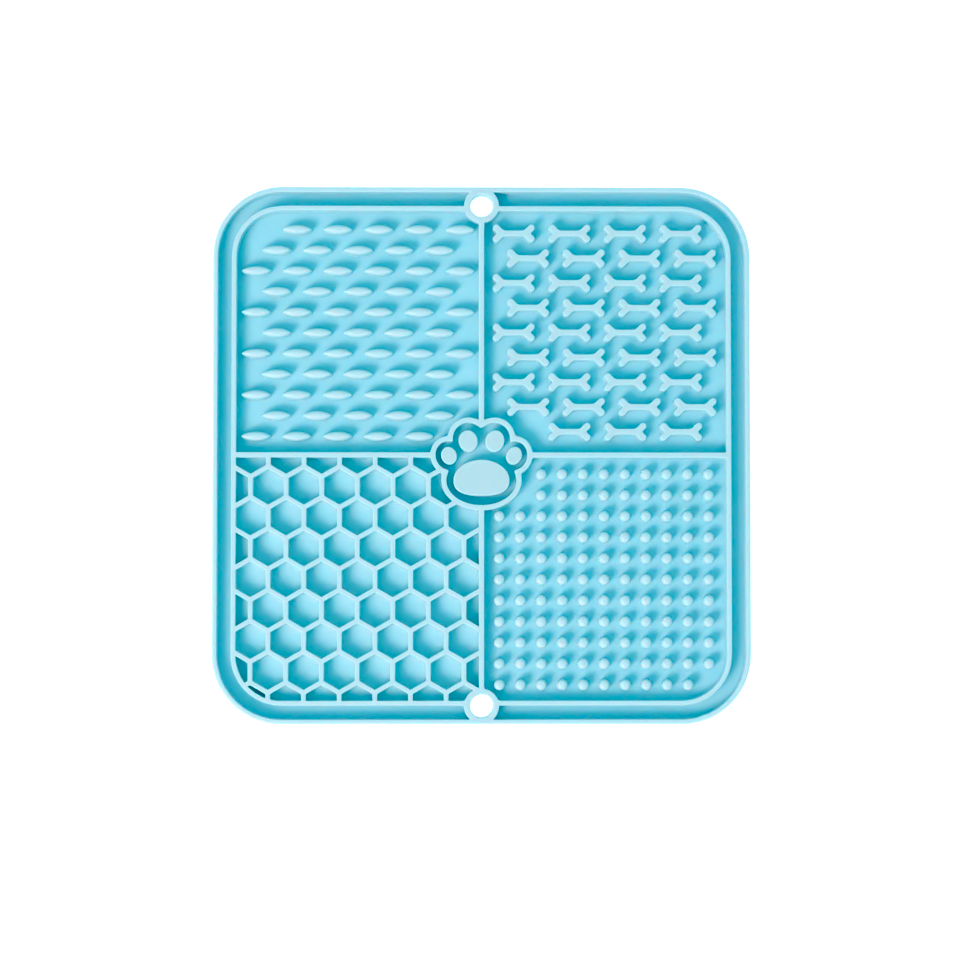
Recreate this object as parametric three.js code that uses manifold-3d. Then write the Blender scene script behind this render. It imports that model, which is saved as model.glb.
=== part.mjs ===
// Lick mat: a square dish moulded in one piece from soft silicone rubber.
// A rim and a moat run round four bays, and each bay holds its own pattern of nubs or cells.
// Millimetres. X runs to the right of the mat and Y up it, with the bones in the upper right bay.
// Z is up, and the origin is at the middle of the flat underside.
import * as THREE from "three";
import { mergeGeometries, mergeVertices } from "three/addons/utils/BufferGeometryUtils.js";
import Module from "manifold-3d";

const wasm = await Module();
wasm.setup();

// Driving dimensions of the dish
const SIDE = 200;
const HEIGHT = 8;
const FLOOR = 2;
const CORNER_RADIUS = 26;
const RIM_WALL = 2.2;
const MOAT_WIDTH = 5.2;
const FRAME_WALL = 1.7;
const DIVIDER_WALL = 1.75;
const NUB_TOP = 7.4;

// The nubs and cutters start below the floor or end above the walls by this much, so that they cut clean.
const OVERRUN = 1;

// Half widths of the concentric squares, from the rim inwards
const RIM_EDGE = SIDE / 2;
const MOAT_OUTER = RIM_EDGE - RIM_WALL;
const MOAT_INNER = MOAT_OUTER - MOAT_WIDTH;
const BAY_EDGE = MOAT_INNER - FRAME_WALL;

// Two eyelets, one in the moat above and one below
const EYELET = { y: 93, hole: 4.3, boss: 6.4, sides: 24 };

// Where the nubs of each bay stand, row by row downwards from its upper left nub. Odd rows are shifted across.
// The places left out, each by its row and column, are where a corner or the paw needs the room.
const GRAIN_GRID = {
  x: -83.8, y: 84, across: 15.16, down: 7.71, shift: 7.58,
  rows: 11, evenCount: 6, oddCount: 5, leftOut: ["0:0", "10:5"],
};
const BONE_GRID = {
  x: 11.72, y: 82.6, across: 20.74, down: 9.25, shift: 5.35,
  rows: 9, evenCount: 4, oddCount: 4, leftOut: ["8:0"],
};
const PEG_GRID = {
  x: 6.6, y: -7.1, across: 7.78, down: 7.81, shift: 0,
  rows: 11, evenCount: 11, oddCount: 11, leftOut: ["0:0", "0:1", "1:0", "1:1", "10:10"],
};
const CELL_GRID = {
  x: -85.57, y: -0.44, across: 13.18, down: 11.42, shift: -6.59,
  rows: 9, evenCount: 7, oddCount: 8, leftOut: [],
};

// Nubs: half sizes at the foot, and how much of them is left at the shoulder below the crown
const GRAIN = { halfLength: 5.4, halfWidth: 1.75, shoulder: 0.82, crown: 1.2, sides: 6 };
const PEG = { radius: 2, shoulder: 0.84, crown: 0.9, sides: 6 };
const BONE = {
  shankHalfLength: 3.3, shankHalfWidth: 1.1, notch: 6.9,
  knob: { x: 6.5, y: 2.05, radius: 1.4, from: 130, to: -20, steps: 2 },
};

// Honeycomb cells: pointed up and down, with a shallow bowl for a floor
const CELL = { acrossFlats: 11.45, bowlRim: 1.6 };

// The paw in the middle: toe pads for one side, which the other side mirrors, and the heel pad below them.
// Lean is in degrees, outwards.
const PAW_WALL = 1.75;
const TOE_PADS = [
  { x: 4.95, y: 5.2, rx: 3.55, ry: 4.1, lean: 12 },
  { x: 12.1, y: -0.25, rx: 2.95, ry: 3.42, lean: 22 },
];
const HEEL_PAD = { y: -9.3, halfWidth: 10.45, up: 7.6, down: 5.9, squareness: 2.6, steps: 24 };

// The channel round the pads is the union of these lobes, and its wall runs round the outside.
const CHANNEL_LOBES = [
  { x: 4.8, y: 6.2, rx: 5.9, ry: 5.9, lean: 0 },
  { x: 12.1, y: -0.25, rx: 4.95, ry: 5.45, lean: 22 },
];
const CHANNEL_MIDDLE = [
  { x: 0, y: 0, rx: 9, ry: 9, lean: 0 },
  { x: 0, y: -9.4, rx: 13.1, ry: 9.3, lean: 0 },
];

const degrees = THREE.MathUtils.degToRad;

// A closed geometry as a solid that can be joined and cut
function solidOf(geometry) {
  const bare = geometry.index ? geometry.toNonIndexed() : geometry.clone();
  bare.deleteAttribute("normal");
  bare.deleteAttribute("uv");
  const merged = mergeVertices(bare, 1e-4);
  return new wasm.Manifold(new wasm.Mesh({
    numProp: 3,
    vertProperties: new Float32Array(merged.attributes.position.array),
    triVerts: new Uint32Array(merged.index.array),
  }));
}

// A flat shape stood up between two heights
function prism(shape, bottom, top) {
  const geometry = new THREE.ExtrudeGeometry(shape, {
    depth: top - bottom,
    bevelEnabled: false,
    curveSegments: 8,
  });
  return geometry.translate(0, 0, bottom);
}

function join(solids) {
  return solids.reduce((whole, solid) => whole.add(solid));
}

// A square of the given half width whose corners share their centres with the rim's
function squareShape(halfWidth) {
  const radius = CORNER_RADIUS - (RIM_EDGE - halfWidth);
  const centre = halfWidth - radius;
  const shape = new THREE.Shape();
  shape.moveTo(halfWidth, -centre);
  shape.absarc(centre, centre, radius, 0, Math.PI / 2);
  shape.absarc(-centre, centre, radius, Math.PI / 2, Math.PI);
  shape.absarc(-centre, -centre, radius, Math.PI, 1.5 * Math.PI);
  shape.absarc(centre, -centre, radius, 1.5 * Math.PI, 2 * Math.PI);
  return shape;
}

// An ellipse that may lean: to the right for a positive lean
function ellipseShape({ x, y, rx, ry, lean }, steps) {
  const points = [];
  for (let step = 0; step < steps; step += 1) {
    const turn = (2 * Math.PI * step) / steps;
    const point = new THREE.Vector2(rx * Math.cos(turn), ry * Math.sin(turn));
    point.rotateAround(new THREE.Vector2(), -degrees(lean));
    points.push(point.add(new THREE.Vector2(x, y)));
  }
  return new THREE.Shape(points);
}

// A lobe or pad and its mirror image on the other side of the mat
function bothSides(lobe) {
  return [lobe, { ...lobe, x: -lobe.x, lean: -lobe.lean }];
}

function gridPlaces(grid) {
  const places = [];
  for (let row = 0; row < grid.rows; row += 1) {
    const odd = row % 2 === 1;
    const count = odd ? grid.oddCount : grid.evenCount;
    for (let column = 0; column < count; column += 1) {
      if (grid.leftOut.includes(`${row}:${column}`)) continue;
      places.push({
        x: grid.x + grid.across * column + (odd ? grid.shift : 0),
        y: grid.y - grid.down * row,
      });
    }
  }
  return places;
}

// One solid of many like pieces that stand apart, one at each place of a grid
function patternOf(piece, grid) {
  const copies = gridPlaces(grid).map(({ x, y }) => piece.clone().translate(x, y, 0));
  return solidOf(mergeGeometries(copies));
}

// A turned piece about the Z axis, from a profile of radius and height that starts and ends on the axis.
// It has a corner on the Y axis, or on the X axis where it is begun a quarter turn on.
function turned(profile, sides, begin = 0) {
  const points = profile.map(([radius, z]) => new THREE.Vector2(radius, z));
  return new THREE.LatheGeometry(points, sides, begin).rotateX(Math.PI / 2);
}

function squareBlock(xLow, xHigh, yLow, yHigh, bottom, top) {
  const block = new THREE.BoxGeometry(xHigh - xLow, yHigh - yLow, top - bottom);
  return block.translate((xLow + xHigh) / 2, (yLow + yHigh) / 2, (bottom + top) / 2);
}

// Round peg with tapered sides and a low crown
function pegPiece() {
  const shoulder = PEG.radius * PEG.shoulder;
  return turned([
    [0, FLOOR - OVERRUN],
    [PEG.radius, FLOOR - OVERRUN],
    [shoulder, NUB_TOP - PEG.crown],
    [0, NUB_TOP],
  ], PEG.sides);
}

// Grain: a turned piece drawn out lengthwise, with its sides drawn in to a point at each end
function grainPiece() {
  const piece = turned([
    [0, FLOOR - OVERRUN],
    [1, FLOOR - OVERRUN],
    [GRAIN.shoulder, NUB_TOP - GRAIN.crown],
    [0, NUB_TOP],
  ], GRAIN.sides, Math.PI / 2);
  const place = piece.attributes.position;
  for (let index = 0; index < place.count; index += 1) {
    const x = place.getX(index);
    const y = place.getY(index);
    place.setXY(index, GRAIN.halfLength * x, GRAIN.halfWidth * y * Math.abs(y));
  }
  return piece;
}

// Bone: a straight shank with two round knobs at each end and a notch between them
function bonePiece() {
  const { shankHalfLength, shankHalfWidth, notch, knob } = BONE;
  const quarter = [new THREE.Vector2(shankHalfLength, shankHalfWidth)];
  for (let step = 0; step <= knob.steps; step += 1) {
    const turn = degrees(THREE.MathUtils.lerp(knob.from, knob.to, step / knob.steps));
    const reach = new THREE.Vector2(Math.cos(turn), Math.sin(turn)).multiplyScalar(knob.radius);
    quarter.push(new THREE.Vector2(knob.x, knob.y).add(reach));
  }
  const mirrored = (points, alongX, alongY) =>
    points.map(({ x, y }) => new THREE.Vector2(x * alongX, y * alongY));
  const backwards = quarter.slice().reverse();
  const outline = [
    ...quarter,
    new THREE.Vector2(notch, 0),
    ...mirrored(backwards, 1, -1),
    ...mirrored(quarter, -1, -1),
    new THREE.Vector2(-notch, 0),
    ...mirrored(backwards, -1, 1),
  ];
  return prism(new THREE.Shape(outline), FLOOR - OVERRUN, NUB_TOP);
}

// What is taken out for one honeycomb cell: a six-sided well over a bowl
function cellPiece() {
  const corner = CELL.acrossFlats / Math.sqrt(3);
  return turned([
    [0, FLOOR],
    [corner, FLOOR + CELL.bowlRim],
    [corner, HEIGHT + OVERRUN],
    [0, HEIGHT + OVERRUN],
  ], 6);
}

function heelShape() {
  const { y, halfWidth, up, down, squareness, steps } = HEEL_PAD;
  const points = [];
  for (let step = 0; step < steps; step += 1) {
    const turn = (2 * Math.PI * step) / steps;
    const across = Math.cos(turn);
    const along = Math.sin(turn);
    const power = along < 0 ? 2 / squareness : 1;
    points.push(new THREE.Vector2(
      halfWidth * Math.sign(across) * Math.abs(across) ** power,
      y + (along < 0 ? down : up) * Math.sign(along) * Math.abs(along) ** power,
    ));
  }
  return new THREE.Shape(points);
}

// The paw's outline, grown by some width all round, as a solid between two heights
function pawSolid(grow, bottom, top) {
  const lobes = [...CHANNEL_LOBES.flatMap(bothSides), ...CHANNEL_MIDDLE];
  return join(lobes.map((lobe) => {
    const grown = { ...lobe, rx: lobe.rx + grow, ry: lobe.ry + grow };
    return solidOf(prism(ellipseShape(grown, 24), bottom, top));
  }));
}

function pawPads() {
  const bottom = FLOOR - OVERRUN;
  const toes = TOE_PADS.flatMap(bothSides).map((pad) => ellipseShape(pad, 16));
  return join([...toes, heelShape()].map((shape) => solidOf(prism(shape, bottom, NUB_TOP))));
}

function eyeletSolid(radius, bottom, top) {
  return join([-EYELET.y, EYELET.y].map((y) => {
    const disc = ellipseShape({ x: 0, y, rx: radius, ry: radius, lean: 0 }, EYELET.sides);
    return solidOf(prism(disc, bottom, top));
  }));
}

function matSolid() {
  const over = HEIGHT + OVERRUN;
  const wall = DIVIDER_WALL / 2;
  const plate = solidOf(prism(squareShape(RIM_EDGE), 0, HEIGHT));
  const bosses = eyeletSolid(EYELET.boss, FLOOR - OVERRUN, over);

  const moat = solidOf(prism(squareShape(MOAT_OUTER), FLOOR, over))
    .subtract(solidOf(prism(squareShape(MOAT_INNER), FLOOR - OVERRUN, over + OVERRUN)))
    .subtract(bosses);

  const standing = join([
    solidOf(squareBlock(-wall, wall, -RIM_EDGE, RIM_EDGE, FLOOR - OVERRUN, over + OVERRUN)),
    solidOf(squareBlock(-RIM_EDGE, RIM_EDGE, -wall, wall, FLOOR - OVERRUN, over + OVERRUN)),
    pawSolid(PAW_WALL, FLOOR - OVERRUN, over + OVERRUN),
    bosses,
  ]);
  const basins = solidOf(prism(squareShape(BAY_EDGE), FLOOR, over)).subtract(standing);
  const combBay = solidOf(squareBlock(-RIM_EDGE, 0, -RIM_EDGE, 0, 0, over + OVERRUN));
  const cells = patternOf(cellPiece(), CELL_GRID).intersect(basins).intersect(combBay);

  return plate
    .subtract(moat)
    .subtract(basins.subtract(combBay))
    .subtract(cells)
    .subtract(pawSolid(0, FLOOR, over))
    .add(pawPads())
    .add(patternOf(grainPiece(), GRAIN_GRID))
    .add(patternOf(bonePiece(), BONE_GRID))
    .add(patternOf(pegPiece(), PEG_GRID))
    .subtract(eyeletSolid(EYELET.hole, -OVERRUN, over));
}

function geometryOf(solid) {
  const { numProp, vertProperties, triVerts } = solid.getMesh();
  const geometry = new THREE.BufferGeometry();
  geometry.setAttribute("position", new THREE.BufferAttribute(vertProperties, numProp));
  geometry.setIndex(new THREE.BufferAttribute(triVerts, 1));
  geometry.computeVertexNormals();
  return geometry;
}

const silicone = new THREE.MeshStandardMaterial({
  color: 0x7ccee1,
  roughness: 0.55,
  metalness: 0,
  flatShading: true,
});

const mat = new THREE.Mesh(geometryOf(matSolid()), silicone);
mat.name = "mat";

const lickMat = new THREE.Group();
lickMat.add(mat);

export default lickMat;
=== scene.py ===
import math

import bpy
import numpy as np
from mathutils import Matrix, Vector
from mathutils.geometry import delaunay_2d_cdt


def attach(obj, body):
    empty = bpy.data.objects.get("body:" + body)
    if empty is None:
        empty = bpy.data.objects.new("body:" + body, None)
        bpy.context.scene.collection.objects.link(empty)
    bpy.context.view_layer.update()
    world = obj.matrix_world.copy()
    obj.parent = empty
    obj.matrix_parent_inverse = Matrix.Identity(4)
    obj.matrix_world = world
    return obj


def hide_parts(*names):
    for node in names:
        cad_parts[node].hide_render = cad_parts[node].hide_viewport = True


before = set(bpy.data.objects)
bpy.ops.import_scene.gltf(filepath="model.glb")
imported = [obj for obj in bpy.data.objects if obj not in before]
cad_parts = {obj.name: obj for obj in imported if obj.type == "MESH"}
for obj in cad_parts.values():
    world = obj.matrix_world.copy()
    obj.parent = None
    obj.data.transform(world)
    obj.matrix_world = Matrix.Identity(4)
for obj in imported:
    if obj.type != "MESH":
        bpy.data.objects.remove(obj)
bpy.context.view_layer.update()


# Rim
# The low wall round the outside of the mat, part of the one moulding of soft silicone rubber.
# Its outer face leans in a little so that the mat leaves the mould, and its edges are rounded.
# Sizes are in millimetres up to the making of the mesh.
SIDE = 200.0
HEIGHT = 8.0
CORNER_RADIUS = 26.0
CORNER_STEPS = 22
RIM_EDGE = SIDE / 2
RIM_DRAFT = 0.15
RIM_TOP_ROUNDING = 0.8
RIM_TOP_STEPS = 5
RIM_FOOT_ROUNDING = 0.4
RIM_FOOT_STEPS = 3

points = []
faces = []
facing_up = set()
facing_down = set()


def add_ring(outline, heights, facing=None):
    """Adds a closed ring of points, counterclockwise from above, and gives their numbers.

    facing is the set of the points at which a flat face runs into a rounding.
    """
    first = len(points)
    heights = np.broadcast_to(heights, len(outline))
    points.extend((x, y, z) for (x, y), z in zip(outline, heights))
    ring = list(range(first, len(points)))
    if facing is not None:
        facing.update(ring)
    return ring


def add_wall(rings):
    """Joins each ring to the next: upwards round a raised form, and downwards into a hollow one."""
    for ring, following in zip(rings, rings[1:]):
        for here in range(len(ring)):
            ahead = (here + 1) % len(ring)
            faces.append((ring[here], ring[ahead], following[ahead], following[here]))


def quarter_round(radius, steps):
    """How far across and how far up each step of a rounding lies, from a wall's face to its top."""
    turns = np.linspace(0, math.pi / 2, steps + 1)
    return [(radius * (1 - math.cos(turn)), radius * math.sin(turn)) for turn in turns]


def rounded_square(half, radius):
    """The points of a square with round corners, counterclockwise from its upper right corner."""
    turns = np.linspace(0, math.pi / 2, CORNER_STEPS)
    corner = np.stack([np.cos(turns), np.sin(turns)], axis=1) * radius + (half - radius)
    corners = [corner]
    for _ in range(3):
        corners.append(np.stack([-corners[-1][:, 1], corners[-1][:, 0]], axis=1))
    return np.concatenate(corners)


def rim_ring(inset, height, facing=None):
    return add_ring(rounded_square(RIM_EDGE - inset, CORNER_RADIUS - inset), height, facing)


rim_rings = [rim_ring(RIM_FOOT_ROUNDING, 0, facing_down)]
for across, up in reversed(quarter_round(RIM_FOOT_ROUNDING, RIM_FOOT_STEPS)[:-1]):
    rim_rings.append(rim_ring(across, RIM_FOOT_ROUNDING - up))
for across, up in quarter_round(RIM_TOP_ROUNDING, RIM_TOP_STEPS):
    facing = facing_up if up == RIM_TOP_ROUNDING else None
    rim_rings.append(rim_ring(RIM_DRAFT + across, HEIGHT - RIM_TOP_ROUNDING + up, facing))
add_wall(rim_rings)


# Eyelets
# Two round holes through bosses in the moat, by which the mat can be hung or held.
# They are moulded in, with a rounded lip above and below.
EYELET_Y = 93.0
EYELET_HOLE_RADIUS = 4.3
EYELET_BOSS_RADIUS = 6.4
EYELET_LIP = 0.45
EYELET_LIP_STEPS = 3
EYELET_STEPS = 40


def circle(x, y, radius, steps):
    turns = np.arange(steps) * 2 * math.pi / steps
    return np.stack([x + radius * np.cos(turns), y + radius * np.sin(turns)], axis=1)


def boss_outside(x, y):
    """How far a place lies outside the nearer of the two bosses."""
    return np.minimum(np.hypot(x, y - EYELET_Y), np.hypot(x, y + EYELET_Y)) - EYELET_BOSS_RADIUS


eyelet_tops = []
eyelet_feet = []
for eyelet_y in (EYELET_Y, -EYELET_Y):
    lip = quarter_round(EYELET_LIP, EYELET_LIP_STEPS)
    eyelet_rings = []
    for across, up in reversed(lip):
        facing = facing_up if up == EYELET_LIP else None
        hole = circle(0, eyelet_y, EYELET_HOLE_RADIUS + across, EYELET_STEPS)
        eyelet_rings.append(add_ring(hole, HEIGHT - EYELET_LIP + up, facing))
    for across, up in lip:
        facing = facing_down if up == EYELET_LIP else None
        hole = circle(0, eyelet_y, EYELET_HOLE_RADIUS + across, EYELET_STEPS)
        eyelet_rings.append(add_ring(hole, EYELET_LIP - up, facing))
    add_wall(eyelet_rings)
    eyelet_tops.append(eyelet_rings[0])
    eyelet_feet.append(eyelet_rings[-1])


# Moat
# The channel between the rim and the frame wall, which keeps what runs off the bays.
# It ends at the eyelet bosses. As on every hollow of the mat, its walls lean back for the mould,
# with a rounded lip above and a round root at the floor.
FLOOR = 2.0
RIM_WALL = 1.95
MOAT_WIDTH = 5.35
MOAT_OUTER = RIM_EDGE - RIM_WALL
MOAT_INNER = MOAT_OUTER - MOAT_WIDTH
MOAT_MIDDLE = (MOAT_OUTER + MOAT_INNER) / 2
MOAT_END = 9.0
LIP = 0.22
LIP_STEPS = 3
LIP_FACE = 0.06
WALL_DRAFT = 0.12
ROOT = 0.4
ROOT_STEPS = 4
CORNER_SOFTNESS = 0.6
RAYS = 900
END_RAYS = RAYS // 8
TRACING_STEPS = 60
STRIDE = 0.9
TOUCHING = 1e-4


def square_inside(x, y, half):
    """How far a place lies inside a square whose corners share their centres with the rim's."""
    radius = CORNER_RADIUS - (RIM_EDGE - half)
    across = np.abs(x) - (half - radius)
    along = np.abs(y) - (half - radius)
    beyond = np.hypot(np.maximum(across, 0), np.maximum(along, 0))
    return radius - beyond - np.minimum(np.maximum(across, along), 0)


def soft_least(first, second, softness=CORNER_SOFTNESS):
    """The lesser of two distances, with the corner between them rounded off."""
    nearness = np.maximum(softness - np.abs(first - second), 0) / softness
    return np.minimum(first, second) - nearness ** 2 * softness / 4


def moat_inside(x, y):
    band = soft_least(square_inside(x, y, MOAT_OUTER), -square_inside(x, y, MOAT_INNER))
    return soft_least(band, boss_outside(x, y))


def rays_about(spine):
    """Rays that look all round a path, or round a single point, counterclockwise."""
    path = np.array(spine, float)
    if len(path) == 1:
        turns = np.arange(RAYS) * 2 * math.pi / RAYS
        return np.repeat(path, RAYS, axis=0), np.stack([np.cos(turns), np.sin(turns)], axis=1)
    along = np.gradient(path, axis=0)
    heading = np.unwrap(np.arctan2(along[:, 1], along[:, 0]))
    quarter = math.pi / 2
    fan = np.linspace(-quarter, quarter, END_RAYS)
    starts = np.concatenate([
        path,
        np.repeat(path[-1:], END_RAYS, axis=0),
        path[::-1],
        np.repeat(path[:1], END_RAYS, axis=0),
    ])
    turns = np.concatenate([
        heading - quarter,
        heading[-1] + fan,
        heading[::-1] + quarter,
        heading[0] + math.pi + fan,
    ])
    return starts, np.stack([np.cos(turns), np.sin(turns)], axis=1)


def trace(inside, depth, starts, ways):
    """Where each ray comes to the given depth inside an outline, counted inwards from its edge.

    Each step goes most of the way that is left, because some distances are only nearly true.
    """
    reach = np.zeros(len(starts))
    for _ in range(TRACING_STEPS):
        place = starts + ways * reach[:, None]
        reach += STRIDE * (inside(place[:, 0], place[:, 1]) - depth)
    return starts + ways * reach[:, None]


def outlines(inside, depths, spine, spacing, bend=13.0):
    """One outline for each depth, all along the same rays, which crowd where the outline bends.

    spacing is in millimetres along a straight stretch, and bend in degrees round a curve.
    """
    starts, ways = rays_about(spine)
    crowding = np.zeros(len(starts))
    for depth in (min(depths), max(depths)):
        outline = trace(inside, depth, starts, ways)
        step = np.roll(outline, -1, axis=0) - outline
        length = np.hypot(step[:, 0], step[:, 1])
        heading = np.arctan2(step[:, 1], step[:, 0])
        turn = np.abs((np.roll(heading, -1) - heading + math.pi) % (2 * math.pi) - math.pi)
        turn[(length < TOUCHING) | (np.roll(length, -1) < TOUCHING)] = 0
        crowding += (length / spacing + np.degrees(turn) / bend) / 2
    total = np.cumsum(crowding)
    count = math.ceil(total[-1])
    picked = np.unique(np.searchsorted(total, (np.arange(count) + 0.5) / count * total[-1]))
    return [trace(inside, depth, starts[picked], ways[picked]) for depth in depths]


def flat_floor(x, y):
    return np.full(len(x), FLOOR)


def hollow_depths(squeeze=1.0):
    """How far inside its outline each ring of a hollow lies, from the flat wall top to the floor."""
    lip = [LIP_FACE - across for across, _ in quarter_round(LIP, LIP_STEPS)]
    root = [LIP_FACE + WALL_DRAFT + across for across, _ in quarter_round(ROOT, ROOT_STEPS)]
    return lip[::-1] + [depth * squeeze for depth in root]


def add_hollow(outlines_down, floor_height=flat_floor, place=(0, 0)):
    """Adds the walls of a hollow from its outlines, and gives its rings from the top to the floor."""
    lip = [HEIGHT - LIP + up for _, up in quarter_round(LIP, LIP_STEPS)][::-1]
    root = [ROOT - up for _, up in quarter_round(ROOT, ROOT_STEPS)]
    rings = []
    for number, outline in enumerate(outlines_down):
        if number < len(lip):
            height = lip[number]
        else:
            height = floor_height(outline[:, 0], outline[:, 1]) + root[number - len(lip)]
        facing = facing_up if number == 0 else None
        rings.append(add_ring(outline + place, height, facing))
    add_wall(rings)
    return rings


wall_tops = []
half_way_round = rounded_square(MOAT_MIDDLE, CORNER_RADIUS - (RIM_EDGE - MOAT_MIDDLE))
quarter_count = len(half_way_round) // 4
left_path = np.concatenate([
    [(-MOAT_END, MOAT_MIDDLE)],
    half_way_round[quarter_count:3 * quarter_count],
    [(-MOAT_END, -MOAT_MIDDLE)],
])
for moat_path in (left_path, -left_path):
    moat_rings = add_hollow(outlines(moat_inside, hollow_depths(), moat_path, spacing=12))
    wall_tops.append(moat_rings[0])
    facing_up.update(moat_rings[-1])
    faces.append(tuple(moat_rings[-1]))


# Paw
# The channel in the shape of a paw where the dividing walls cross, with a wall of its own.
# Four toe pads and a heel pad stand in it, flat on top, with rounded edges.
PAW_WALL = 1.75
PAW_CENTRE = (0.0, -2.0)
PAW_SOFTNESS = 1.0
PAW_LOBES = (
    {"x": 4.8, "y": 6.2, "rx": 5.9, "ry": 5.9, "lean": 0},
    {"x": 12.1, "y": -0.25, "rx": 4.95, "ry": 5.45, "lean": 22},
    {"x": 0, "y": 0, "rx": 9, "ry": 10.2, "lean": 0},
    {"x": 0, "y": -9.4, "rx": 13.1, "ry": 9.3, "lean": 0},
)
TOE_PADS = (
    {"x": 4.95, "y": 5.2, "rx": 3.55, "ry": 4.1, "lean": 12},
    {"x": 12.1, "y": -0.25, "rx": 2.95, "ry": 3.42, "lean": 22},
)
TOE_STEPS = 40
HEEL_PAD = {"y": -9.3, "half_width": 10.45, "up": 7.6, "down": 5.9, "squareness": 2.6}
HEEL_STEPS = 80
RAISED_TOP = 7.4
RAISED_ROOT = 0.35
RAISED_DRAFT = 0.12
RAISED_STEPS = 3
PAD_LIP = 0.35
NEARLY_NOTHING = 1e-9
TRIANGLES_IN_RINGS = 1
MERGING_DISTANCE = 1e-6


def lobe_outside(x, y, lobe):
    """How far a place lies outside an ellipse whose top leans outwards, away from the Y axis."""
    lean = math.radians(lobe["lean"])
    across = np.abs(x) - lobe["x"]
    along = y - lobe["y"]
    u = across * math.cos(lean) - along * math.sin(lean)
    v = across * math.sin(lean) + along * math.cos(lean)
    share = np.hypot(u / lobe["rx"], v / lobe["ry"])
    slope = np.hypot(u / lobe["rx"] ** 2, v / lobe["ry"] ** 2) + NEARLY_NOTHING
    return share * (share - 1) / slope


def paw_outside(x, y):
    """How far a place lies outside the paw's channel."""
    distance = lobe_outside(x, y, PAW_LOBES[0])
    for lobe in PAW_LOBES[1:]:
        distance = soft_least(distance, lobe_outside(x, y, lobe), PAW_SOFTNESS)
    return distance


def distance_inside(outline, inside):
    """The true distance inside a closed outline of short sides, which inside tells from the outside."""
    sides = np.roll(outline, -1, axis=0) - outline
    lengths = (sides ** 2).sum(axis=1)

    def nearest(x, y):
        offset = np.stack([x, y], axis=1)[:, None] - outline[None]
        share = np.clip((offset * sides).sum(axis=2) / lengths, 0, 1)
        gap = offset - share[..., None] * sides
        return np.sqrt((gap ** 2).sum(axis=2)).min(axis=1) * np.where(inside(x, y) > 0, 1, -1)
    return nearest


def raised_profile(lip):
    """Growth outwards and height of each ring of a raised form, from the floor to its flat top."""
    foot = RAISED_DRAFT / 2
    root = [
        (foot + across, FLOOR + RAISED_ROOT - up)
        for across, up in quarter_round(RAISED_ROOT, RAISED_STEPS)
    ]
    edge = [
        (-foot - across, RAISED_TOP - lip + up)
        for across, up in quarter_round(lip, RAISED_STEPS)
    ]
    return root[::-1] + edge


def toe_outline(pad, side, grow):
    """A leaning ellipse, the toe pad on that side of the Y axis."""
    outline = circle(0, 0, 1, TOE_STEPS) * (pad["rx"] + grow, pad["ry"] + grow)
    lean = -math.radians(pad["lean"]) * side
    across, along = outline[:, 0], outline[:, 1]
    return np.stack([
        side * pad["x"] + across * math.cos(lean) - along * math.sin(lean),
        pad["y"] + across * math.sin(lean) + along * math.cos(lean),
    ], axis=1)


def heel_outline(grow):
    """Half an ellipse above, and a squarer half below."""
    x, y = circle(0, 0, 1, HEEL_STEPS).T
    power = np.where(y < 0, 2 / HEEL_PAD["squareness"], 1)
    rise = np.where(y < 0, HEEL_PAD["down"] + grow, HEEL_PAD["up"] + grow)
    return np.stack([
        (HEEL_PAD["half_width"] + grow) * np.sign(x) * np.abs(x) ** power,
        HEEL_PAD["y"] + rise * np.sign(y) * np.abs(y) ** power,
    ], axis=1)


def add_raised(outline_of, profile):
    """Adds a raised form from its outline at each growth, and gives its foot ring."""
    rings = []
    for number, (grow, height) in enumerate(profile):
        facing = facing_up if number in (0, len(profile) - 1) else None
        rings.append(add_ring(outline_of(grow), height, facing))
    add_wall(rings)
    faces.append(tuple(rings[-1]))
    return rings[0]


def fill(outer, holes, turned_over=False):
    """Closes the flat face between an outer ring and the rings that stand in it."""
    rings = [outer, *holes]
    numbers = [number for ring in rings for number in ring]
    flat = [Vector(points[number][:2]) for number in numbers]
    loops = []
    for ring in rings:
        start = loops[-1][-1] + 1 if loops else 0
        loops.append(list(range(start, start + len(ring))))
    placed, _, triangles, sources, _, inside = delaunay_2d_cdt(
        flat, [], loops, TRIANGLES_IN_RINGS, MERGING_DISTANCE,
    )
    assert len(placed) == len(flat), "two rings of a flat face cross"
    for triangle, within in zip(triangles, inside):
        in_outer_ring_alone = list(within) == [0]
        if in_outer_ring_alone:
            corners = [numbers[sources[corner][0]] for corner in triangle]
            faces.append(tuple(reversed(corners)) if turned_over else tuple(corners))


def channel_inside(x, y):
    return -paw_outside(x, y)


paw_edge = outlines(channel_inside, [0], [PAW_CENTRE], spacing=0.4, bend=3)[0]
paw_inside = distance_inside(paw_edge, channel_inside)
paw_rings = add_hollow(outlines(paw_inside, hollow_depths(), [PAW_CENTRE], spacing=3))
wall_tops.append(paw_rings[0])
pad_profile = raised_profile(PAD_LIP)
pad_feet = [add_raised(heel_outline, pad_profile)]
for pad in TOE_PADS:
    for side in (-1, 1):
        pad_feet.append(add_raised(lambda grow: toe_outline(pad, side, grow), pad_profile))
facing_up.update(paw_rings[-1])
fill(paw_rings[-1], pad_feet)


# Bays
# Three open trays between the frame wall and the two dividing walls that cross at the paw.
# The fourth quarter of the mat is the honeycomb, below.
FRAME_WALL = 1.6
BAY_EDGE = MOAT_INNER - FRAME_WALL
DIVIDER_WALL = 1.75
BAY_MIDDLE = 46.0


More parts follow.
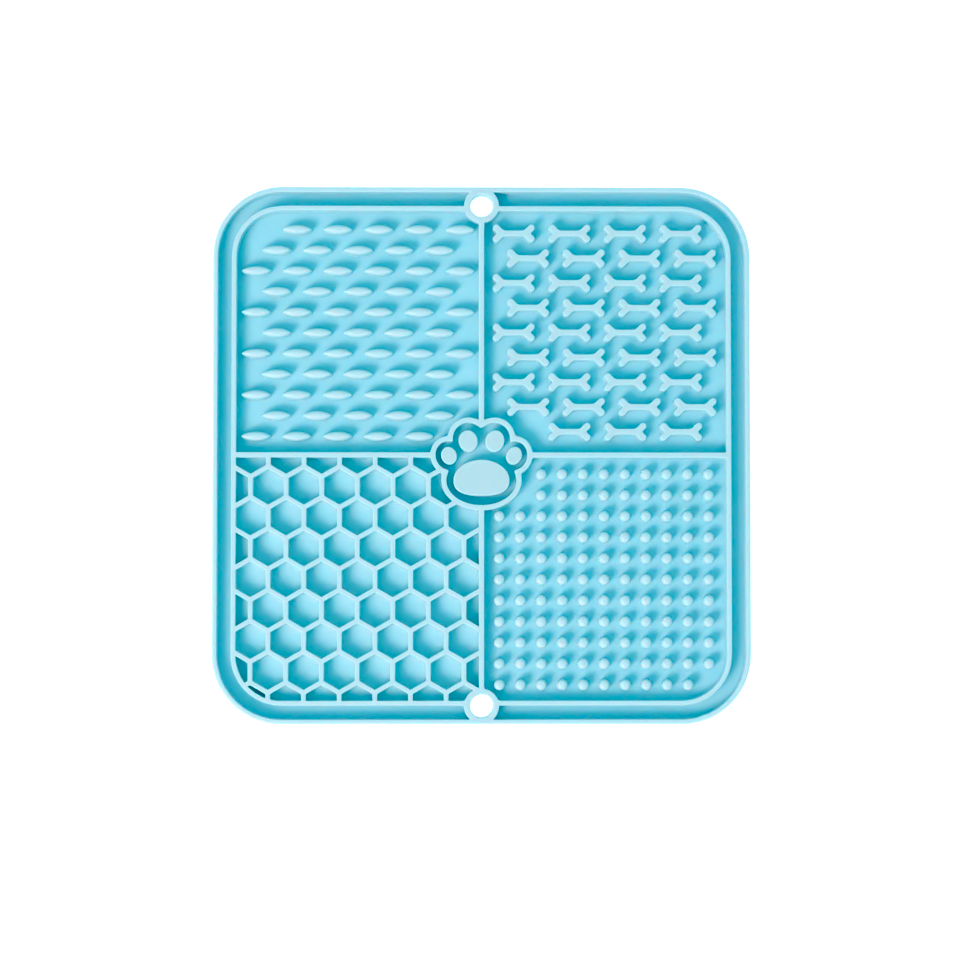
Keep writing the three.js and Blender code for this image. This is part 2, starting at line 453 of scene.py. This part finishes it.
def bay_inside(side_x, side_y):
    """The distance inside the quarter of the mat on those sides, clear of walls, boss and paw."""
    def inside(x, y):
        quarter = soft_least(side_x * x, side_y * y) - DIVIDER_WALL / 2
        tray = soft_least(quarter, square_inside(x, y, BAY_EDGE))
        return soft_least(tray, soft_least(boss_outside(x, y), paw_outside(x, y) - PAW_WALL))
    return inside


def add_bay(side_x, side_y):
    """Adds the walls of the bay on those sides, and gives the ring round its floor."""
    spine = [(side_x * BAY_MIDDLE, side_y * BAY_MIDDLE)]
    inside = bay_inside(side_x, side_y)
    rings = add_hollow(outlines(inside, hollow_depths(), spine, spacing=6, bend=8))
    wall_tops.append(rings[0])
    facing_up.update(rings[-1])
    return rings[-1]


def grid_places(grid):
    """The places of a bay's nubs, row by row downwards, with every odd row shifted across."""
    places = []
    for row in range(grid["rows"]):
        odd = row % 2
        for column in range(grid["odd_count"] if odd else grid["even_count"]):
            if (row, column) not in grid["left_out"]:
                x = grid["x"] + grid["across"] * column + (grid["shift"] if odd else 0)
                places.append((x, grid["y"] - grid["down"] * row))
    return places


# Grains
# Almond-shaped nubs in staggered rows in the upper left bay, moulded with it.
# Each has steep sides and a smooth, flattened crest, and draws in to a blunt point at both ends.
GRAIN_GRID = {
    "x": -83.8, "y": 84.1, "across": 15.16, "down": 7.71, "shift": 7.58,
    "rows": 11, "even_count": 6, "odd_count": 5, "left_out": [(0, 0), (10, 5)],
}
GRAIN_STEPS = 26
GRAIN_SHARPNESS = 1.35
GRAIN_RINGS = (
    {"half_length": 5.78, "half_width": 2.03, "height": 2.0},
    {"half_length": 5.63, "half_width": 1.88, "height": 2.1},
    {"half_length": 5.56, "half_width": 1.81, "height": 2.4},
    {"half_length": 5.48, "half_width": 1.75, "height": 4.2},
    {"half_length": 5.41, "half_width": 1.71, "height": 5.6},
    {"half_length": 5.26, "half_width": 1.65, "height": 6.25},
    {"half_length": 4.95, "half_width": 1.52, "height": 6.68},
    {"half_length": 4.45, "half_width": 1.31, "height": 6.98},
    {"half_length": 3.62, "half_width": 0.98, "height": 7.21},
    {"half_length": 2.46, "half_width": 0.60, "height": 7.34},
    {"half_length": 1.25, "half_width": 0.25, "height": 7.4},
)


def grain_outline(ring):
    x, y = circle(0, 0, 1, GRAIN_STEPS).T
    drawn_in = y * np.abs(y) ** (GRAIN_SHARPNESS - 1)
    return np.stack([x * ring["half_length"], drawn_in * ring["half_width"]], axis=1)


def add_nubs(grid, outlines_up, heights):
    """Adds one nub at each place of the grid, and gives their foot rings."""
    feet = []
    for place in grid_places(grid):
        rings = []
        for number, (outline, height) in enumerate(zip(outlines_up, heights)):
            rings.append(add_ring(outline + place, height, facing_up if number == 0 else None))
        add_wall(rings)
        faces.append(tuple(rings[-1]))
        facing_up.update(rings[-1])
        feet.append(rings[0])
    return feet


grain_feet = add_nubs(
    GRAIN_GRID,
    [grain_outline(ring) for ring in GRAIN_RINGS],
    [ring["height"] for ring in GRAIN_RINGS],
)
fill(add_bay(-1, 1), grain_feet)


# Bones
# Flat-topped bones in staggered rows in the upper right bay, moulded with it.
# A straight shank runs into two round knobs at each end, with a notch between them.
BONE_GRID = {
    "x": 12.0, "y": 82.7, "across": 20.74, "down": 9.25, "shift": 5.35,
    "rows": 9, "even_count": 4, "odd_count": 4, "left_out": [(8, 0)],
}
SHANK_HALF_LENGTH = 5.2
SHANK_HALF_WIDTH = 1.1
KNOB = {"x": 6.5, "y": 2.03, "radius": 1.33}
ARM_OVERLAP = 0.9
ARM_START = SHANK_HALF_LENGTH - ARM_OVERLAP
BONE_SOFTNESS = 0.8
BONE_LIP = 0.25
SPINE_STEPS = 400


def bone_inside(x, y):
    """The distance inside a bone: its shank, blended with the arms that widen to the knobs."""
    across = np.abs(x)
    along = np.abs(y)
    shank = np.hypot(np.maximum(across - SHANK_HALF_LENGTH, 0), along) - SHANK_HALF_WIDTH
    arm = np.array([KNOB["x"] - ARM_START, KNOB["y"]])
    share = np.clip(((across - ARM_START) * arm[0] + along * arm[1]) / (arm @ arm), 0, 1)
    half_width = SHANK_HALF_WIDTH + (KNOB["radius"] - SHANK_HALF_WIDTH) * share
    from_arm = np.hypot(across - ARM_START - share * arm[0], along - share * arm[1]) - half_width
    return -soft_least(shank, from_arm, BONE_SOFTNESS)


bone_profile = raised_profile(BONE_LIP)
bone_spine = [(x, 0) for x in np.linspace(-SHANK_HALF_LENGTH, SHANK_HALF_LENGTH, SPINE_STEPS)]
bone_depths = [-grow for grow, _ in bone_profile]
bone_outlines = outlines(bone_inside, bone_depths, bone_spine, spacing=2.5, bend=18)
bone_feet = add_nubs(BONE_GRID, bone_outlines, [height for _, height in bone_profile])
fill(add_bay(1, 1), bone_feet)


# Pegs
# Round pegs on a square grid in the lower right bay, moulded with it.
# They taper a little and end in a flattened dome.
PEG_GRID = {
    "x": 6.6, "y": -7.1, "across": 7.78, "down": 7.81, "shift": 0,
    "rows": 11, "even_count": 11, "odd_count": 11,
    "left_out": [(0, 0), (0, 1), (1, 0), (1, 1), (10, 10)],
}
PEG_STEPS = 20
PEG_RINGS = (
    {"radius": 2.24, "height": 2.0},
    {"radius": 2.10, "height": 2.1},
    {"radius": 2.04, "height": 2.35},
    {"radius": 2.00, "height": 5.8},
    {"radius": 1.95, "height": 6.35},
    {"radius": 1.83, "height": 6.72},
    {"radius": 1.61, "height": 6.98},
    {"radius": 1.25, "height": 7.2},
    {"radius": 0.80, "height": 7.32},
    {"radius": 0.38, "height": 7.39},
)
peg_outlines = [circle(0, 0, ring["radius"], PEG_STEPS) for ring in PEG_RINGS]
peg_feet = add_nubs(PEG_GRID, peg_outlines, [ring["height"] for ring in PEG_RINGS])
fill(add_bay(1, -1), peg_feet)


# Honeycomb
# Six-sided wells in the lower left quarter, cut off by the walls round it. Their floors are dished.
# The walls between them are what is left of the moulding, about 1.6 mm thick.
CELL_GRID = {
    "x": -85.57, "y": -0.44, "across": 13.18, "down": 11.42, "shift": -6.59,
    "rows": 9, "even_count": 7, "odd_count": 8, "left_out": [],
}
CELL_ACROSS_FLATS = 11.58
CELL_SOFTNESS = 0.4
BOWL_MIDDLE = 2.0
BOWL_RIM = 0.6
BOWL_RADIUS = 6.2
BOWL_SHARES = (0.8, 0.55, 0.28)
LEAST_CELL = 0.5
ROOM_FOR_ROOT = 0.8
SEARCH_STEPS = 61


def cell_inside(x, y):
    """The distance inside a pointed hexagon about the origin."""
    distance = CELL_ACROSS_FLATS / 2 - np.abs(x)
    for turn in (math.radians(60), math.radians(120)):
        flat = CELL_ACROSS_FLATS / 2 - np.abs(x * math.cos(turn) + y * math.sin(turn))
        distance = soft_least(distance, flat, CELL_SOFTNESS)
    return distance


def bowl_height(x, y):
    """The height of a well's dished floor, at a place counted from the well's own middle."""
    return BOWL_MIDDLE + BOWL_RIM * (np.hypot(x, y) / BOWL_RADIUS) ** 2


def add_cell(outlines_down, middle, place):
    """Adds a well from its outlines, and its bowl in rings round the middle of the opening."""
    rings = add_hollow(outlines_down, bowl_height, place)
    floor = outlines_down[-1]
    bowl = [rings[-1]]
    for share in BOWL_SHARES:
        inner = middle + (floor - middle) * share
        bowl.append(add_ring(inner + place, bowl_height(inner[:, 0], inner[:, 1])))
    add_wall(bowl)
    faces.append(tuple(bowl[-1]))
    wall_tops.append(rings[0])


comb_inside = bay_inside(-1, -1)


def clipped_inside(place):
    """The distance inside the well at that place, as far as the walls round the quarter leave it."""
    def inside(x, y):
        return soft_least(cell_inside(x, y), comb_inside(x + place[0], y + place[1]), CELL_SOFTNESS)
    return inside


search = np.linspace(-CELL_ACROSS_FLATS / 2, CELL_ACROSS_FLATS / 2, SEARCH_STEPS)
search_x, search_y = (side.ravel() for side in np.meshgrid(search, search))
whole_outlines = outlines(cell_inside, hollow_depths(), [(0, 0)], spacing=20, bend=14)
for place in grid_places(CELL_GRID):
    well_inside = clipped_inside(place)
    room = well_inside(search_x, search_y)
    if np.allclose(room, cell_inside(search_x, search_y)):
        add_cell(whole_outlines, np.zeros(2), place)
    elif room.max() > LEAST_CELL:
        middle = np.array([search_x[room.argmax()], search_y[room.argmax()]])
        squeeze = min(1, ROOM_FOR_ROOT * room.max() / max(hollow_depths()))
        cut_outlines = outlines(well_inside, hollow_depths(squeeze), [middle], spacing=6, bend=14)
        add_cell(cut_outlines, middle, place)


# Top and underside
# The flat tops of all the walls are one face of the moulding, and so is its flat underside.
# Here the whole surface becomes one closed mesh, and the faces that are flat are lit as flat.
MM = 0.001
fill(rim_rings[-1], wall_tops + eyelet_tops)
fill(rim_rings[0], eyelet_feet, turned_over=True)

mat_mesh = bpy.data.meshes.new("mat_moulding")
mat_mesh.from_pydata([Vector(point) * MM for point in points], [], faces)
mat_mesh.shade_smooth()
mat_mesh.validate()
normals = [vertex.normal.copy() for vertex in mat_mesh.vertices]
for number in facing_up:
    normals[number] = Vector((0, 0, 1))
for number in facing_down:
    normals[number] = Vector((0, 0, -1))
mat_mesh.normals_split_custom_set_from_vertices(normals)
mat_moulding = bpy.data.objects.new("mat_moulding", mat_mesh)
bpy.context.scene.collection.objects.link(mat_moulding)
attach(mat_moulding, "root")
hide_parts("mat")


# Silicone rubber
# Moulded with a satin tool: soft, a little translucent, sky blue. Light goes in and spreads, so its
# shadows stay a full blue, and only the lit faces turn pale. The colour is also painted paler towards
# the tops and crests, a painted lightening where the light reaches them more fully, and there are
# faint clouds in the blue.
def linear(hex_colour):
    """The linear colour of an sRGB hex value, with its alpha."""
    parts = [int(hex_colour[start:start + 2], 16) / 255 for start in (1, 3, 5)]
    return tuple(
        part / 12.92 if part <= 0.04045 else ((part + 0.055) / 1.055) ** 2.4 for part in parts
    ) + (1.0,)


def add_node(tree, kind, settings=None, **links):
    """Adds a node with its settings and input values. An input that is a socket is linked."""
    node = tree.nodes.new(kind)
    for name, value in (settings or {}).items():
        setattr(node, name, value)
    for name, value in links.items():
        label = name.replace("_", " ")
        socket = next(each for each in node.inputs if each.enabled and each.name == label)
        if isinstance(value, bpy.types.NodeSocket):
            tree.links.new(value, socket)
        else:
            socket.default_value = value
    return node


SILICONE_IOR = 1.41
SILICONE_DEEP = "#B1D8E2"
# Painted light: the paler colour that is painted on towards the tops and crests, where the light falls
# more fully.
SILICONE_PAINTED_TOP_LIGHT = "#C4D5DC"
SILICONE_CLOUD = "#A4D0DB"
PAINTED_LIGHT_FROM = 4.8 * MM
PAINTED_LIGHT_TO = 7.2 * MM
CLOUD_SIZE = 28 * MM
CLOUD_STRENGTH = 0.35
# The real grain of a satin tool is about 0.1 mm. It is drawn coarser so that it shows.
TOOL_GRAIN = 0.9 * MM
TOOL_GRAIN_DEPTH = 0.02 * MM
SATIN_SMOOTHEST = 0.36
SATIN_ROUGHEST = 0.46
SCATTER_DEPTH = 1.5 * MM
SCATTER_RED_GREEN_BLUE = (0.25, 1.0, 1.2)
# Which output of a Mix node is its colour. All of them are called Result.
MIXED_COLOUR = 2

silicone = bpy.data.materials.new("moulded_silicone_rubber")
silicone.use_nodes = True
tree = silicone.node_tree
tree.nodes.clear()
place_on_mat = add_node(tree, "ShaderNodeTexCoord").outputs["Object"]
height_up = add_node(tree, "ShaderNodeSeparateXYZ", Vector=place_on_mat).outputs["Z"]
# Painted light: the colour turns towards the paler one with height, between these two heights.
painted_light_share = add_node(
    tree, "ShaderNodeMapRange", {"interpolation_type": "SMOOTHSTEP"},
    Value=height_up, From_Min=PAINTED_LIGHT_FROM, From_Max=PAINTED_LIGHT_TO,
)
clouds = add_node(
    tree, "ShaderNodeTexNoise",
    Vector=place_on_mat, Scale=1 / CLOUD_SIZE, Detail=3.0, Roughness=0.6,
)
cloud_share = add_node(
    tree, "ShaderNodeMapRange",
    Value=clouds.outputs["Fac"], From_Min=0.35, From_Max=0.7, To_Max=CLOUD_STRENGTH,
)
clouded = add_node(
    tree, "ShaderNodeMix", {"data_type": "RGBA"},
    Factor=cloud_share.outputs["Result"], A=linear(SILICONE_DEEP), B=linear(SILICONE_CLOUD),
)
colour = add_node(
    tree, "ShaderNodeMix", {"data_type": "RGBA"},
    Factor=painted_light_share.outputs["Result"], A=clouded.outputs[MIXED_COLOUR], B=linear(SILICONE_PAINTED_TOP_LIGHT),
)
grain = add_node(
    tree, "ShaderNodeTexNoise", Vector=place_on_mat, Scale=1 / TOOL_GRAIN, Detail=2.0, Roughness=0.5,
)
gloss = add_node(
    tree, "ShaderNodeMapRange", Value=grain.outputs["Fac"],
    From_Min=0.3, From_Max=0.7, To_Min=SATIN_SMOOTHEST, To_Max=SATIN_ROUGHEST,
)
relief = add_node(
    tree, "ShaderNodeBump", Height=grain.outputs["Fac"], Strength=1.0, Distance=TOOL_GRAIN_DEPTH,
)
skin = add_node(
    tree, "ShaderNodeBsdfPrincipled", {"subsurface_method": "RANDOM_WALK"},
    Base_Color=colour.outputs[MIXED_COLOUR], Roughness=gloss.outputs["Result"], IOR=SILICONE_IOR,
    Subsurface_Weight=1.0, Subsurface_Radius=SCATTER_RED_GREEN_BLUE, Subsurface_Scale=SCATTER_DEPTH,
    Normal=relief.outputs["Normal"],
)
surface = add_node(tree, "ShaderNodeOutputMaterial")
tree.links.new(skin.outputs["BSDF"], surface.inputs["Surface"])
mat_mesh.materials.append(silicone)


# Table
# A plain opal light table that the mat lies on. It isn't part of the mat. Its top is cast opal
# acrylic, nearly white and matt, and it glows, so that the mat's shadow on it doesn't show.
TABLE_HALF = 1.5
TABLE_DROP = 0.05 * MM
TABLE_COLOUR = "#F4F6F7"
OPAL_ROUGHNESS = 0.7
OPAL_GLOW = 0.8
table_mesh = bpy.data.meshes.new("table")
table_mesh.from_pydata([
    (-TABLE_HALF, -TABLE_HALF, -TABLE_DROP), (TABLE_HALF, -TABLE_HALF, -TABLE_DROP),
    (TABLE_HALF, TABLE_HALF, -TABLE_DROP), (-TABLE_HALF, TABLE_HALF, -TABLE_DROP),
], [], [(0, 1, 2, 3)])
table = bpy.data.objects.new("table", table_mesh)
bpy.context.scene.collection.objects.link(table)
opal = bpy.data.materials.new("opal_acrylic_light_table")
opal.use_nodes = True
opal_sheet = opal.node_tree.nodes["Principled BSDF"]
opal_sheet.inputs["Base Color"].default_value = linear(TABLE_COLOUR)
opal_sheet.inputs["Roughness"].default_value = OPAL_ROUGHNESS
opal_sheet.inputs["Emission Color"].default_value = linear(TABLE_COLOUR)
opal_sheet.inputs["Emission Strength"].default_value = OPAL_GLOW
table_mesh.materials.append(opal)


# Light
# One large soft box, a little warm, which shines from below and from the left in the picture.
# A pale blue fill comes from all round.
KEY_DISTANCE = 2.5
KEY_SIZE = 1.0
KEY_WATTS = 50
KEY_COLOUR = "#FFE5DF"
KEY_TURN = math.radians(-136)
KEY_RISE = math.radians(46)
KEY_WAY = Vector((
    math.cos(KEY_RISE) * math.cos(KEY_TURN), math.cos(KEY_RISE) * math.sin(KEY_TURN), math.sin(KEY_RISE),
))
FILL_COLOUR = "#C9F6FF"
FILL_STRENGTH = 0.86
key_light = bpy.data.lights.new("key", "AREA")
key_light.shape = "DISK"
key_light.size = KEY_SIZE
key_light.energy = KEY_WATTS
key_light.color = linear(KEY_COLOUR)[:3]
key = bpy.data.objects.new("key", key_light)
key.location = KEY_WAY * KEY_DISTANCE
key.rotation_euler = KEY_WAY.to_track_quat("Z", "Y").to_euler()
bpy.context.scene.collection.objects.link(key)

sky = bpy.data.worlds.new("studio")
sky.use_nodes = True
sky.node_tree.nodes["Background"].inputs["Color"].default_value = linear(FILL_COLOUR)
sky.node_tree.nodes["Background"].inputs["Strength"].default_value = FILL_STRENGTH
bpy.context.scene.world = sky


# Camera
# Above the mat and a touch towards its lower edge, as in the photograph, where that edge is larger.
# The lens follows from the size of the photograph's pixels on the top of the mat.
IMAGE_SIDE = 960
PIXEL = 0.3707 * MM
MAT_CENTRE_PIXEL = (481.6, 454.8)
CAMERA_DISTANCE = 1.1
CAMERA_TILT = math.radians(2.6)
CAMERA_TURN = math.radians(-0.9)
SENSOR = 36.0
target = Vector((
    (IMAGE_SIDE / 2 - MAT_CENTRE_PIXEL[0]) * PIXEL,
    (MAT_CENTRE_PIXEL[1] - IMAGE_SIDE / 2) * PIXEL,
    HEIGHT * MM,
))
lens = bpy.data.cameras.new("camera")
lens.sensor_width = SENSOR
lens.lens = SENSOR * CAMERA_DISTANCE / (IMAGE_SIDE * PIXEL)
camera = bpy.data.objects.new("camera", lens)
camera.rotation_euler = (CAMERA_TILT, CAMERA_TURN, 0)
camera.location = target + CAMERA_DISTANCE * (camera.rotation_euler.to_matrix() @ Vector((0, 0, 1)))
bpy.context.scene.collection.objects.link(camera)
bpy.context.scene.camera = camera

# The look of the photograph's shadows, which hold hardly any red.
RED_BLACK_LEVEL = 0.125
look = bpy.context.scene.view_settings
look.view_transform = "Standard"
look.use_curve_mapping = True
look.curve_mapping.black_level = (RED_BLACK_LEVEL, 0, 0)
look.curve_mapping.update()
